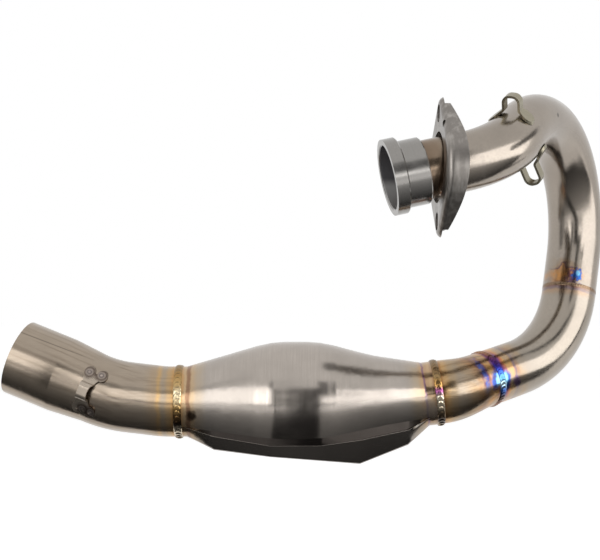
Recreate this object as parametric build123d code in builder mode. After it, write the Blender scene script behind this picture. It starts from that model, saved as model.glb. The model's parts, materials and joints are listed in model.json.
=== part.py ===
from build123d import *
from math import asin, cos, degrees, radians, sin, sqrt, tan
import os

# Motorcycle exhaust header with a two-half resonance chamber. Millimetres and degrees.
# X runs forward on the bike, Y runs from the outer side towards the engine, Z is up.
# The origin is the centre of the collar's open face, where the header meets the cylinder head.

# Port collar, a turned ring that takes the front tube in its rear socket
port_rise = 12.4
port_sweep = 6.7
collar_ring_diameter = 49.2
collar_ring_length = 8.5
collar_sleeve_wall = 2.5
collar_length = 23.5
collar_mouth_diameter = 41.0
collar_mouth_depth = 10.0
collar_edge_break = 0.8
collar_socket_clearance = 0.05

# Bent tubes: corner points of the tube's centre line and the bends between them
tube_diameter = 38.1
tube_wall = 1.2
front_corner_reach = 75.5
top_corner = Vector(170.9, 164.4, 116.0)
lower_corner = Vector(131.1, 106.8, -116.2)
front_bend_radius = 58.0
top_bend_radius = 70.7
lower_bend_radius = 73.2
straight_between_bends = 10.0
lower_bend_lead = 2.0
lower_bend_tail = 29.4
lower_tail_end = Vector(71.7, 69.3, -132.6)
transition_stub = 3.5

# Chamber, measured rearwards from the centre of its front mouth; heights are from that centre
chamber_front = Vector(36.8, 58.0, -141.1)
chamber_wall = 1.2
front_mouth_diameter = 43.0
front_mouth_tilt = 7.5
front_mouth_seam = -13.3
front_spigot_length = 8.0
front_spigot_seam = -14.6
waist_distance = 40.0
waist_crown = 24.2
barrel_front_distance = 79.0
barrel_rear_distance = 112.0
barrel_width = 76.0
barrel_crown = 34.4
barrel_shoulder = -7.0
barrel_seam = -27.6
barrel_side_tuck = 4.6
crease_round = 9.0
rear_mouth_distance = 174.0
rear_mouth_diameter = 47.6
rear_mouth_drop = 6.1
rear_mouth_seam = -21.0
rear_spigot_length = 5.0
rear_spigot_seam = -21.6

# Lower shell: its rim tucks inside the upper shell, and a ledge stands below the seam
rim_overlap = 3.0
rim_clearance = 0.1
mouth_band = 0.2
barrel_band = 5.1
front_heel_distance = 20.0
front_heel_band = 6.7
front_heel_floor = -34.6
deep_distance = 52.5
deep_band = 6.6
deep_floor = -46.9
barrel_front_floor = -43.4
barrel_rear_floor = -40.6
rear_heel_distance = 150.0
rear_heel_band = 3.7
rear_heel_floor = -37.2
pan_side_lean = 0.75
pan_corner_radius = 4.5

# Outlet pipe, bent up towards the silencer and expanded at its end
outlet_lead = 10.0
outlet_corner_run = 46.0
outlet_corner_climb = 4.3
outlet_rise = 21.2
outlet_sweep = 8.0
outlet_bend_radius = 80.0
outlet_bend_lead = 1.4
outlet_wall = 1.2
outlet_end_diameter = 51.6
outlet_end_length = 32.8
outlet_taper_length = 24.0

# Loose port flange: a stamped round plate with two ears and back-turned sides
flange_distance = 33.0
flange_rise = -1.0
flange_sweep = 4.2
flange_thickness = 2.5
flange_body_diameter = 69.0
flange_hole_clearance = 2.4
flange_stud_spacing = 69.0
flange_slot_length = 11.5
flange_slot_width = 9.0
flange_ear_radius = 8.0
flange_ear_wall = 4.95
flange_lip_depth = 13.9
flange_lip_end_depth = 6.0
flange_lip_end_height = 40.0
flange_edge_radius = 4.5
flange_small_hole = 4.4
flange_small_hole_out = 17.5
flange_small_hole_up = 26.0

# Welds
bead_width = 5.0
bead_height = 1.3
joint_bead_width = 4.2
joint_bead_height = 0.9
upright_bead_width = 3.2
upright_bead_height = 0.4

# Strap loops on the front tube and the spring hook on the outlet pipe
foot_bite = 0.15
strap_thickness = 1.6
strap_width = 6.3
strap_eye_width = 9.0
strap_foot_angle = 40.0
strap_long_tip = 16.2
strap_short_tip = 14.0
strap_pad_length = 8.0
strap_pad_width = 9.5
strap_pad_radius = 3.5
upper_strap_setback = 4.5
upper_strap_turn = 2.0
upper_strap_height = 12.8
lower_strap_setback = -1.5
lower_strap_turn = 160.0
lower_strap_height = 16.2
hook_distance = 9.9
hook_turn = -2.0
hook_thickness = 1.5
hook_width = 15.0
hook_eye_width = 9.0
hook_height = 7.0
hook_lobe_radius = 3.6
hook_lobe_offset = 4.4
hook_foot_angle = 31.0
hook_bridge_width = 6.5
hook_bridge_offset = 2.5
hook_dimple_radius = 2.0
hook_dimple_depth = 0.5


def direction(rise, sweep):
    """Unit vector lifted by rise from straight ahead, then turned towards +Y by sweep."""
    level = cos(radians(sweep))
    return Vector(cos(radians(rise)) * level, sin(radians(sweep)), sin(radians(rise)) * level)


def tangent_length(before, after, radius):
    """Length that a bend takes from each leg between two leg directions."""
    return radius * tan(radians(before.get_angle(after)) / 2)


def leg_growth(start, end, bent_length):
    """Extra run along a leg, where its bends leave too little straight tube between them."""
    straight = (end - start).length - bent_length
    return (end - start).normalized() * max(0.0, straight_between_bends - straight)


def cross_plane(origin, along):
    """Plane across a tube at origin, with the tube running along its normal."""
    return Plane(origin=origin, x_dir=(0, 1, 0), z_dir=along)


def axial_plane(origin, along):
    """Plane through a tube's centre line: local x runs along the tube and local y outwards."""
    return Plane(origin=origin, x_dir=along, z_dir=cross_plane(origin, along).x_dir)


port_axis = direction(port_rise, port_sweep)
tube_radius = tube_diameter / 2
collar_socket_radius = tube_radius + collar_socket_clearance
collar_sleeve_diameter = 2 * (collar_socket_radius + collar_sleeve_wall)
front_corner = port_axis * front_corner_reach
tube_start = port_axis * collar_mouth_depth
front_leg = (top_corner - front_corner).normalized()
upright_leg = (lower_corner - top_corner).normalized()
tail_leg = (lower_tail_end - lower_corner).normalized()
front_take = tangent_length(port_axis, front_leg, front_bend_radius)
top_take = tangent_length(front_leg, upright_leg, top_bend_radius)
lower_take = tangent_length(upright_leg, tail_leg, lower_bend_radius)

# A wider bend lengthens its legs, and all that follows it moves along with them
front_growth = leg_growth(front_corner, top_corner, front_take + top_take)
upright_growth = leg_growth(top_corner, lower_corner, top_take + lower_bend_lead + lower_take)
top_corner += front_growth
lower_corner += front_growth + upright_growth
chamber_front += front_growth + upright_growth
upright_joint = lower_corner - upright_leg * (lower_take + lower_bend_lead)
tail_joint = lower_corner + tail_leg * (lower_take + lower_bend_tail)

# Port collar: one turned profile
with BuildPart() as port_collar:
    ring = collar_ring_diameter / 2
    sleeve = collar_sleeve_diameter / 2
    mouth = collar_mouth_diameter / 2
    socket = collar_socket_radius
    cut = collar_edge_break
    with BuildSketch(axial_plane((0, 0, 0), port_axis)):
        with BuildLine():
            Polyline(
                (0, mouth + cut),
                (0, ring),
                (collar_ring_length - cut, ring),
                (collar_ring_length, ring - cut),
                (collar_ring_length, sleeve),
                (collar_length - cut, sleeve),
                (collar_length, sleeve - cut),
                (collar_length, socket),
                (collar_mouth_depth, socket),
                (collar_mouth_depth, mouth),
                (cut, mouth),
                close=True,
            )
        make_face()
    revolve(axis=Axis((0, 0, 0), port_axis))

# Front bend: from the collar's socket, through two bends, down to the upright weld
with BuildPart() as front_bend:
    with BuildLine() as front_path:
        FilletPolyline(
            tube_start,
            front_corner,
            top_corner,
            upright_joint,
            radius=(front_bend_radius, top_bend_radius),
        )
    with BuildSketch(cross_plane(tube_start, port_axis)):
        Circle(tube_radius)
        Circle(tube_radius - tube_wall, mode=Mode.SUBTRACT)
    sweep()

# Lower bend: from the upright weld round to the tapered tube
with BuildPart() as lower_bend:
    with BuildLine() as lower_path:
        FilletPolyline(upright_joint, lower_corner, tail_joint, radius=lower_bend_radius)
    with BuildSketch(cross_plane(upright_joint, upright_leg)):
        Circle(tube_radius)
        Circle(tube_radius - tube_wall, mode=Mode.SUBTRACT)
    sweep()

# Transition tube: opens from the tube to the chamber's front mouth along a gentle curve, between stubs
mouth_axis = Vector(-cos(radians(front_mouth_tilt)), 0, -sin(radians(front_mouth_tilt)))
mouth_radius = front_mouth_diameter / 2
taper_start = tail_joint + tail_leg * transition_stub
taper_end = chamber_front - mouth_axis * transition_stub
with BuildLine() as transition_path:
    Spline(taper_start, taper_end, tangents=(tail_leg, mouth_axis))
transition_line = transition_path.line
transition_steps = ((0, 0), (0.25, 0.15), (0.5, 0.5), (0.75, 0.85), (1, 1))
with BuildPart() as transition_tube:
    for wall, mode in ((0, Mode.ADD), (tube_wall, Mode.SUBTRACT)):
        with BuildSketch(cross_plane(tail_joint, tail_leg)):
            Circle(tube_radius - wall)
        extrude(amount=transition_stub, mode=mode)
        for place, opened in transition_steps:
            with BuildSketch(cross_plane(transition_line @ place, transition_line % place)):
                Circle(tube_radius + (mouth_radius - tube_radius) * opened - wall)
        loft(mode=mode)
        with BuildSketch(cross_plane(taper_end, mouth_axis)):
            Circle(mouth_radius - wall)
        extrude(amount=transition_stub, mode=mode)


def arch_face(plane, half_width, shoulder, crown, seam_half, seam):
    """Upper shell section: rounded crown, sides that draw in to the seam, and a flat base."""
    with BuildSketch(plane) as section:
        with BuildLine():
            EllipticalCenterArc((0, shoulder), half_width, crown - shoulder, arc_size=180)
            TangentArc((half_width, shoulder), (seam_half, seam), tangent=(0, -1))
            TangentArc((-half_width, shoulder), (-seam_half, seam), tangent=(0, -1))
            Line((seam_half, seam), (-seam_half, seam))
        make_face()
    return section.sketch


def chord(radius, height):
    """Half width of a circle at a height from its centre."""
    return sqrt(radius**2 - height**2)


def blend(start, end, share):
    """Value part of the way from start to end."""
    return start + (end - start) * share


def station_plane(distance):
    """Level cross plane of the chamber: local x is Y and local y is the height."""
    return Plane(origin=chamber_front - Vector(distance, 0, 0), x_dir=(0, 1, 0), z_dir=(1, 0, 0))


front_mouth_plane = Plane(origin=chamber_front, x_dir=(0, 1, 0), z_dir=-mouth_axis)
front_spigot_plane = front_mouth_plane.offset(-front_spigot_length)
rear_mouth_plane = station_plane(rear_mouth_distance)
rear_spigot_distance = rear_mouth_distance - rear_spigot_length
rear_spigot_plane = station_plane(rear_spigot_distance)
rear_radius = rear_mouth_diameter / 2
barrel_half = barrel_width / 2
barrel_seam_half = barrel_half - barrel_side_tuck


def round_arch(plane, radius, centre, seam, inset):
    """Upper shell section at a round mouth."""
    inner = radius - inset
    low = seam - inset
    return arch_face(plane, inner, centre, centre + inner, chord(inner, low - centre), low)


def straight_runs(distance, places, values):
    """Value along the chamber on straight runs between places; the end runs carry on."""
    run = 0
    while run < len(places) - 2 and distance > places[run + 1]:
        run += 1
    share = (distance - places[run]) / (places[run + 1] - places[run])
    return blend(values[run], values[run + 1], share)


def rounded_runs(distance, places, values):
    """Straight runs with each corner rounded: the mean over a short stretch."""
    steps = [distance + crease_round * step / 4 for step in range(-4, 5)]
    return sum(straight_runs(step, places, values) for step in steps) / len(steps)


# Places where the chamber's outline turns, from its front spigot to its rear one
chamber_places = (front_spigot_length, barrel_front_distance, barrel_rear_distance, rear_spigot_distance)
crown_places = (front_spigot_length, waist_distance, *chamber_places[1:])
crown_heights = (mouth_radius, waist_crown, barrel_crown, barrel_crown, rear_radius - rear_mouth_drop)
shoulder_heights = (0, barrel_shoulder, barrel_shoulder, -rear_mouth_drop)
side_halves = (mouth_radius, barrel_half, barrel_half, rear_radius)
seam_heights = (front_spigot_seam, barrel_seam, barrel_seam, rear_spigot_seam)


def seam_at(distance, inset):
    """Half width, less an inset, and height of the upper shell's lower edge along the chamber."""
    side = barrel_seam_half - inset
    front_side = chord(mouth_radius - inset, front_spigot_seam - inset)
    rear_side = chord(rear_radius - inset, rear_spigot_seam + rear_mouth_drop - inset)
    half = rounded_runs(distance, chamber_places, (front_side, side, side, rear_side))
    return half, rounded_runs(distance, chamber_places, seam_heights)


def chamber_arch(distance, inset):
    """Upper shell section between its spigots."""
    seam_half, seam = seam_at(distance, inset)
    return arch_face(
        station_plane(distance),
        rounded_runs(distance, chamber_places, side_halves) - inset,
        rounded_runs(distance, chamber_places, shoulder_heights),
        rounded_runs(distance, crown_places, crown_heights) - inset,
        seam_half,
        seam - inset,
    )


# Stations of the upper shell's skin: close together over each rounded crease
skin_stations = (
    *(barrel_front_distance + crease_round * step for step in (-5, -4, -3, -1, 0, 1)),
    *(barrel_rear_distance + crease_round * step for step in (-1, 0, 1)),
)


# Chamber upper shell: one skin over both cones and the barrel, and a spigot at each end
with BuildPart() as chamber_upper_shell:
    for inset, mode in ((0, Mode.ADD), (chamber_wall, Mode.SUBTRACT)):
        front_mouth = round_arch(front_mouth_plane, mouth_radius, 0, front_mouth_seam, inset)
        front_spigot = round_arch(front_spigot_plane, mouth_radius, 0, front_spigot_seam, inset)
        rear_spigot = round_arch(rear_spigot_plane, rear_radius, -rear_mouth_drop, rear_spigot_seam, inset)
        rear_mouth = round_arch(rear_mouth_plane, rear_radius, -rear_mouth_drop, rear_mouth_seam, inset)
        skin = [chamber_arch(distance, inset) for distance in skin_stations]
        loft([front_mouth, front_spigot], ruled=True, mode=mode)
        loft([front_spigot, *skin, rear_spigot], ruled=True, mode=mode)
        loft([rear_spigot, rear_mouth], ruled=True, mode=mode)


def pan_face(distance, half_top, top, floor, inset):
    """Lower shell section: leaning sides, a flat floor and rounded corners between them."""
    half_floor = half_top - (top - floor) * pan_side_lean
    with BuildSketch(station_plane(distance)) as section:
        with BuildLine():
            bottom = FilletPolyline(
                (-half_top + inset, top),
                (-half_floor + inset, floor + inset),
                (half_floor - inset, floor + inset),
                (half_top - inset, top),
                radius=pan_corner_radius - inset,
            )
            Line(bottom @ 0, bottom @ 1)
        make_face()
    return section.sketch


def pan_mouth(plane, radius, centre, top, inset):
    """Lower shell section at a round mouth: one arc stretch for each side, corner and floor."""
    inner = radius - inset
    reach = degrees(asin((centre - top) / inner))
    arc_size = 180 - 2 * reach
    half_top = chord(inner, top - centre)
    with BuildLine(plane) as outline:
        for start, share in ((0, 0.25), (0.25, 0.1), (0.35, 0.3), (0.65, 0.1), (0.75, 0.25)):
            CenterArc((0, centre), inner, 180 + reach + start * arc_size, share * arc_size)
        Line((half_top, top), (-half_top, top))
    return Face(Wire(outline.edges()))


def rim_face(plane, half_top, top, half_bottom, bottom):
    """Rim section: the band that tucks inside the upper shell."""
    with BuildSketch(plane) as section:
        with BuildLine():
            Polyline(
                (-half_top, top),
                (-half_bottom, bottom),
                (half_bottom, bottom),
                (half_top, top),
                close=True,
            )
        make_face()
    return section.sketch


# Stations of the lower shell between the two spigots: distance, band below the seam, floor
pan_stations = (
    (front_heel_distance, front_heel_band, front_heel_floor),
    (deep_distance, deep_band, deep_floor),
    (barrel_front_distance, barrel_band, barrel_front_floor),
    (barrel_rear_distance, barrel_band, barrel_rear_floor),
    (rear_heel_distance, rear_heel_band, rear_heel_floor),
)
front_ends = (
    (front_mouth_plane, mouth_radius, 0, front_mouth_seam),
    (front_spigot_plane, mouth_radius, 0, front_spigot_seam),
)
rear_ends = (
    (rear_spigot_plane, rear_radius, -rear_mouth_drop, rear_spigot_seam),
    (rear_mouth_plane, rear_radius, -rear_mouth_drop, rear_mouth_seam),
)
rim_inset = chamber_wall + rim_clearance


def pan_sections(inset):
    """Sections of the lower shell's bowl; those of an inset bowl start one wall below the ledge."""
    sections = []
    for plane, radius, centre, seam in front_ends:
        sections.append(pan_mouth(plane, radius, centre, seam - mouth_band - inset, inset))
    for distance, band, floor in pan_stations:
        half, seam = seam_at(distance, 0)
        sections.append(pan_face(distance, half, seam - band - inset, floor, inset))
    for plane, radius, centre, seam in rear_ends:
        sections.append(pan_mouth(plane, radius, centre, seam - mouth_band - inset, inset))
    return sections


def rim_mouth(plane, radius, centre, top, bottom):
    """Rim section at a round mouth."""
    return rim_face(plane, chord(radius, top - centre), top, chord(radius, bottom - centre), bottom)


def rim_sections(inset, rise, drop):
    """Sections of the rim inside the upper shell, from rise above the seam to drop below the ledge."""
    sections = []
    for plane, radius, centre, seam in front_ends:
        inner = radius - rim_inset - inset
        sections.append(rim_mouth(plane, inner, centre, seam + rise, seam - mouth_band - drop))
    for distance, band, floor in pan_stations:
        half, seam = seam_at(distance, rim_inset)
        side = half - inset
        sections.append(rim_face(station_plane(distance), side, seam + rise, side, seam - band - drop))
    for plane, radius, centre, seam in rear_ends:
        inner = radius - rim_inset - inset
        sections.append(rim_mouth(plane, inner, centre, seam + rise, seam - mouth_band - drop))
    return sections


def ruled_chain(sections, mode):
    """Loft straight walls from each section to the next, so that creases fall on the sections."""
    for start, end in zip(sections, sections[1:]):
        loft([start, end], ruled=True, mode=mode)


# Chamber lower shell: a bowl with a flat sloping floor, a ledge, and a rim inside the upper shell
with BuildPart() as chamber_lower_shell:
    ruled_chain(pan_sections(0), Mode.ADD)
    ruled_chain(rim_sections(0, rim_overlap, chamber_wall / 2), Mode.ADD)
    ruled_chain(pan_sections(chamber_wall), Mode.SUBTRACT)
    rim_bore = rim_sections(chamber_wall, rim_overlap + chamber_wall, chamber_wall * 1.5)
    ruled_chain(rim_bore, Mode.SUBTRACT)

# Outlet pipe: a swept bend, then an expanded end as one turned profile
rear_mouth_centre = chamber_front + Vector(-rear_mouth_distance, 0, -rear_mouth_drop)
outlet_radius = rear_mouth_diameter / 2
outlet_lead_end = rear_mouth_centre - Vector(outlet_lead, 0, 0)
outlet_corner = rear_mouth_centre + Vector(-outlet_corner_run, 0, outlet_corner_climb)
outlet_first_leg = (outlet_corner - outlet_lead_end).normalized()
outlet_leg = direction(180 - outlet_rise, outlet_sweep)
outlet_take = tangent_length(outlet_first_leg, outlet_leg, outlet_bend_radius)
outlet_turned_start = outlet_corner + outlet_leg * (outlet_take + outlet_bend_lead)
outlet_turned_length = outlet_taper_length + outlet_end_length


def outlet_body(wall, mode):
    """Outlet pipe's outer solid, or its bore when a wall is given."""
    with BuildLine() as path:
        FilletPolyline(
            rear_mouth_centre,
            outlet_lead_end,
            outlet_corner,
            outlet_turned_start,
            radius=outlet_bend_radius,
        )
    with BuildSketch(cross_plane(rear_mouth_centre, path.line % 0)) as section:
        Circle(outlet_radius - wall)
    sweep(section.sketch, path=path.line, mode=mode)
    end_radius = outlet_end_diameter / 2 - wall
    with BuildSketch(axial_plane(outlet_turned_start, outlet_leg)) as profile:
        with BuildLine():
            Polyline(
                (0, 0),
                (0, outlet_radius - wall),
                (outlet_taper_length, end_radius),
                (outlet_turned_length, end_radius),
                (outlet_turned_length, 0),
                close=True,
            )
        make_face()
    revolve(profile.sketch, axis=Axis(outlet_turned_start, outlet_leg), mode=mode)


with BuildPart() as outlet_solid:
    outlet_body(0, Mode.ADD)

with BuildPart() as outlet_pipe:
    add(outlet_solid.part)
    outlet_body(outlet_wall, Mode.SUBTRACT)

# Port flange: a pressed plate with ears, back-turned sides, stud slots and a small hole
flange_axis = direction(flange_rise, flange_sweep)
flange_plane = Plane(
    origin=port_axis * flange_distance,
    x_dir=Vector(0, 0, 1).cross(-flange_axis),
    z_dir=-flange_axis,
)
flange_side_plane = Plane(
    origin=flange_plane.origin,
    x_dir=flange_axis,
    z_dir=flange_plane.x_dir,
)
flange_hole_diameter = collar_sleeve_diameter + flange_hole_clearance
flange_ear_reach = (flange_stud_spacing + flange_slot_length) / 2 + flange_ear_wall
flange_ear_centre = flange_ear_reach - flange_ear_radius


def flange_outline(inset):
    """Round body and two ears, joined by tangent lines."""
    Circle(flange_body_diameter / 2 - inset)
    with Locations((0, flange_ear_centre), (0, -flange_ear_centre)):
        Circle(flange_ear_radius - inset)
    make_hull()


with BuildPart() as port_flange:
    with BuildSketch(flange_plane):
        flange_outline(0)
    extrude(amount=-flange_lip_depth)
    front_face = port_flange.faces().sort_by(Axis(flange_plane.origin, -flange_axis))[-1]
    fillet(front_face.edges(), flange_edge_radius)
    with BuildSketch(flange_plane.offset(-flange_thickness)):
        flange_outline(flange_thickness)
    extrude(amount=-flange_lip_depth, mode=Mode.SUBTRACT)
    with BuildSketch(flange_side_plane):
        with BuildLine():
            rear_edge = ThreePointArc(
                (flange_lip_end_depth, -flange_lip_end_height),
                (flange_lip_depth, 0),
                (flange_lip_end_depth, flange_lip_end_height),
            )
            Polyline(
                rear_edge @ 1,
                (flange_thickness, flange_lip_end_height),
                (flange_thickness, flange_ear_reach * 2),
                (flange_lip_depth * 2, flange_ear_reach * 2),
                (flange_lip_depth * 2, -flange_ear_reach * 2),
                (flange_thickness, -flange_ear_reach * 2),
                (flange_thickness, -flange_lip_end_height),
                rear_edge @ 0,
            )
        make_face()
    extrude(amount=flange_body_diameter, both=True, mode=Mode.SUBTRACT)
    with BuildSketch(flange_plane):
        Circle(flange_hole_diameter / 2)
        with Locations((0, flange_stud_spacing / 2), (0, -flange_stud_spacing / 2)):
            SlotOverall(flange_slot_length, flange_slot_width, rotation=90)
        with Locations((flange_small_hole_out, flange_small_hole_up)):
            Circle(flange_small_hole / 2)
    extrude(amount=-flange_thickness * 3, mode=Mode.SUBTRACT)


def bead_ring(origin, along, radius, width, height):
    """Weld bead round a tube: a low arc, turned about the tube's centre line."""
    with BuildPart() as bead:
        with BuildSketch(axial_plane(origin, along)):
            with BuildLine():
                ThreePointArc((-width / 2, radius), (0, radius + height), (width / 2, radius))
                Line((-width / 2, radius), (width / 2, radius))
            make_face()
        revolve(axis=Axis(origin, along))
    return bead


upright_weld = bead_ring(upright_joint, upright_leg, tube_radius, upright_bead_width, upright_bead_height)
joint_weld = bead_ring(tail_joint, tail_leg, tube_radius, joint_bead_width, joint_bead_height)
chamber_front_weld = bead_ring(chamber_front, mouth_axis, mouth_radius, bead_width, bead_height)
chamber_rear_weld = bead_ring(rear_mouth_centre, Vector(1, 0, 0), rear_radius, bead_width, bead_height)

# Strap loops: bent strip with feet that sit on the tube and an eye that is open along the tube
bend_side = port_axis.cross(front_leg).normalized()

with BuildPart() as front_solid:
    with BuildSketch(cross_plane(tube_start, port_axis)):
        Circle(tube_radius)
    sweep(path=front_path.line)


def strip_plane(origin, along, eye, turn):
    """Cross plane of a bent strip: local y is the eye's direction, turned about the tube."""
    eye_turned = eye.rotate(Axis((0, 0, 0), along), turn)
    return Plane(origin=origin, x_dir=eye_turned.cross(along), z_dir=along)


def bent_strip(radius, thickness, height, eye_width, foot_angle, tip_out):
    """Bent strip round a tube at the local origin: two feet, and an eye that stands up local y."""
    seat = radius - foot_bite + thickness / 2
    leg = (eye_width + thickness) / 2
    crown = radius + height - thickness / 2
    touch = Vector(seat * sin(radians(foot_angle)), seat * cos(radians(foot_angle)))
    outward = Vector(cos(radians(foot_angle)), -sin(radians(foot_angle)))
    tip = touch + outward * ((tip_out - touch.X) / outward.X)
    knee = touch - outward * ((touch.X - leg) / outward.X)
    crown_radius = min(eye_width / 2, (crown - knee.Y) * 0.6)
    knee_radius = thickness * 1.2
    with BuildLine() as strip:
        FilletPolyline(
            (-tip.X, tip.Y),
            (-leg, knee.Y),
            (-leg, crown),
            (leg, crown),
            (leg, knee.Y),
            (tip.X, tip.Y),
            radius=(knee_radius, crown_radius, crown_radius, knee_radius),
        )
    return strip.line


def strap_loop(setback, turn, height):
    """Strap loop at the end of the first bend, its eye turned from the normal of the bend."""
    station = front_corner + front_leg * (front_take - setback)
    plane = strip_plane(station, front_leg, bend_side, turn)
    plan_plane = Plane(origin=station, x_dir=plane.x_dir, z_dir=plane.y_dir)
    strip = bent_strip(
        tube_radius,
        strap_thickness,
        height,
        strap_eye_width,
        strap_foot_angle,
        strap_long_tip + strap_thickness,
    )
    with BuildPart() as loop:
        with BuildSketch(plane):
            trace(strip, line_width=strap_thickness)
        extrude(amount=strap_width, both=True)
        with BuildSketch(plan_plane):
            Rectangle(strap_short_tip * 2 - strap_pad_length, strap_width)
            for pad in (strap_long_tip - strap_pad_length / 2, strap_pad_length / 2 - strap_short_tip):
                with Locations((pad, 0)):
                    RectangleRounded(strap_pad_length, strap_pad_width, strap_pad_radius)
        extrude(amount=tube_diameter, mode=Mode.INTERSECT)
        add(front_solid.part, mode=Mode.SUBTRACT)
    return loop


upper_strap_loop = strap_loop(upper_strap_setback, upper_strap_turn, upper_strap_height)
lower_strap_loop = strap_loop(lower_strap_setback, lower_strap_turn, lower_strap_height)

# Outlet spring hook: a bent strip with two welded lobes at each foot and a narrow raised bridge
hook_station = outlet_corner + outlet_leg * hook_distance
hook_plane = strip_plane(hook_station, outlet_leg, Vector(0, -1, 0), hook_turn)
hook_plan_plane = Plane(origin=hook_station, x_dir=hook_plane.x_dir, z_dir=hook_plane.y_dir)
hook_lobe_out = (outlet_radius + hook_thickness / 2) * sin(radians(hook_foot_angle))
hook_strip = bent_strip(
    outlet_radius,
    hook_thickness,
    hook_height,
    hook_eye_width,
    hook_foot_angle,
    hook_lobe_out + hook_lobe_radius * 2,
)
hook_dimple_height = outlet_radius + hook_thickness + hook_dimple_radius - hook_dimple_depth
hook_dimples = [
    hook_plane.from_local_coords(
        Vector(
            side * hook_dimple_height * sin(radians(hook_foot_angle)),
            hook_dimple_height * cos(radians(hook_foot_angle)),
            along,
        )
    )
    for side in (1, -1)
    for along in (hook_lobe_offset, -hook_lobe_offset)
]
with BuildPart() as outlet_spring_hook:
    with BuildSketch(hook_plane):
        trace(hook_strip, line_width=hook_thickness)
    extrude(amount=hook_width, both=True)
    with BuildSketch(hook_plan_plane):
        with BuildLine():
            front_edge = ThreePointArc(
                (-hook_lobe_out, hook_width / 2),
                (0, hook_bridge_width / 2 - hook_bridge_offset),
                (hook_lobe_out, hook_width / 2),
            )
            rear_edge = ThreePointArc(
                (-hook_lobe_out, -hook_width / 2),
                (0, -hook_bridge_width / 2 - hook_bridge_offset),
                (hook_lobe_out, -hook_width / 2),
            )
            Line(front_edge @ 0, rear_edge @ 0)
            Line(front_edge @ 1, rear_edge @ 1)
        make_face()
        for out in (hook_lobe_out, -hook_lobe_out):
            with Locations((out, hook_lobe_offset), (out, -hook_lobe_offset)):
                Circle(hook_lobe_radius)
    extrude(amount=outlet_radius * 2, mode=Mode.INTERSECT)
    add(outlet_solid.part, mode=Mode.SUBTRACT)
    with Locations(hook_dimples):
        Sphere(hook_dimple_radius, mode=Mode.SUBTRACT)

os.makedirs("parts", exist_ok=True)
for name, piece in (
    ("port_collar", port_collar),
    ("port_flange", port_flange),
    ("front_bend", front_bend),
    ("lower_bend", lower_bend),
    ("transition_tube", transition_tube),
    ("chamber_upper_shell", chamber_upper_shell),
    ("chamber_lower_shell", chamber_lower_shell),
    ("outlet_pipe", outlet_pipe),
    ("upright_weld", upright_weld),
    ("joint_weld", joint_weld),
    ("chamber_front_weld", chamber_front_weld),
    ("chamber_rear_weld", chamber_rear_weld),
    ("upper_strap_loop", upper_strap_loop),
    ("lower_strap_loop", lower_strap_loop),
    ("outlet_spring_hook", outlet_spring_hook),
):
    piece.part.label = name
    export_step(piece.part, "parts/" + name + ".step")
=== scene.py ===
# %% [markdown]
# This is a motorcycle exhaust header: a bent stainless tube that leads the gas from the engine's port,
# through a small welded chamber, to the silencer. Its solids come from the packed part as a fixed frame, in
# metres, with +Z up. They could be modelled again here, but two models drift apart, so the script leaves the
# solids where they are and gives them their steel, their heat colours and their weld ripples.

# %% Load the frame
import json
import math
from collections import namedtuple
import bmesh
import bpy
import numpy as np
from mathutils import Matrix, Vector


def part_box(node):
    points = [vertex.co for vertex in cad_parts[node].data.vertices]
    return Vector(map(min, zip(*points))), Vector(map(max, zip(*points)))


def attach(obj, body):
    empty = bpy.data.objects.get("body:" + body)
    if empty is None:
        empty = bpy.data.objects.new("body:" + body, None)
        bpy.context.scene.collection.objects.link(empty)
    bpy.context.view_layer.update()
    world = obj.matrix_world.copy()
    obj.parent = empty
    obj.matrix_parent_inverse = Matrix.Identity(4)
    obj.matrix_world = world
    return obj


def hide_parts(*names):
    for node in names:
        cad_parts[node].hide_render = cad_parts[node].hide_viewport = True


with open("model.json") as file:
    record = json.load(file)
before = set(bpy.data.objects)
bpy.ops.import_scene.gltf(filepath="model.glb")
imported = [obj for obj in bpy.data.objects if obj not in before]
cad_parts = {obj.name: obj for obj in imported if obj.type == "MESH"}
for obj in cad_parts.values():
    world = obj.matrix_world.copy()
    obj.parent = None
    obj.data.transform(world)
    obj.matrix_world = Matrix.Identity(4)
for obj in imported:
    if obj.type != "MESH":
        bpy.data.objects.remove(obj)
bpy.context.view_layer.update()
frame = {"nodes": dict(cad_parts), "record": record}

nodes = frame["nodes"]


# %% [markdown]
# Four welds hold the tubes and the chamber together, and the heat colours start from them. Their places
# could be typed in, but measuring them on the solids keeps the colours in place if a tube is moved later. A
# bead is a ring: the middle of its box is the ring's centre, and the direction in which its points spread
# least is the tube's own.

# %% Measure the welded joints
Ring = namedtuple("Ring", "centre axis radius")


def ring_of(node, towards):
    """Centre, direction and inner radius of a weld bead."""
    low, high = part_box(node)
    centre = (low + high) / 2
    points = np.array([v.co for v in nodes[node].data.vertices], float) - np.array(centre)
    axis = Vector(np.linalg.svd(points, full_matrices=False)[2][2])
    if axis.dot(Vector(towards)) < 0:
        axis = -axis
    across = points - np.outer(points @ np.array(axis), np.array(axis))
    return Ring(centre, axis.normalized(), float(np.linalg.norm(across, axis=1).min()))


downwards = (0, 0, -1)
backwards = (-1, 0, 0)
upright = ring_of("upright_weld", downwards)
joint = ring_of("joint_weld", backwards)
chamber_front = ring_of("chamber_front_weld", backwards)
chamber_rear = ring_of("chamber_rear_weld", backwards)
for name, ring in (("upright", upright), ("joint", joint), ("front", chamber_front), ("rear", chamber_rear)):
    place = [round(1000 * x, 1) for x in ring.centre]
    print(name, "weld at", place, "radius", round(1000 * ring.radius, 2), "mm")

# %% [markdown]
# The header has two open ends: the collar that sits in the engine's port, and the expanded outlet that takes
# the silencer's pipe. They could be measured as the welds are, but the record states both, because other
# parts join there, so they are read from it.

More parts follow.
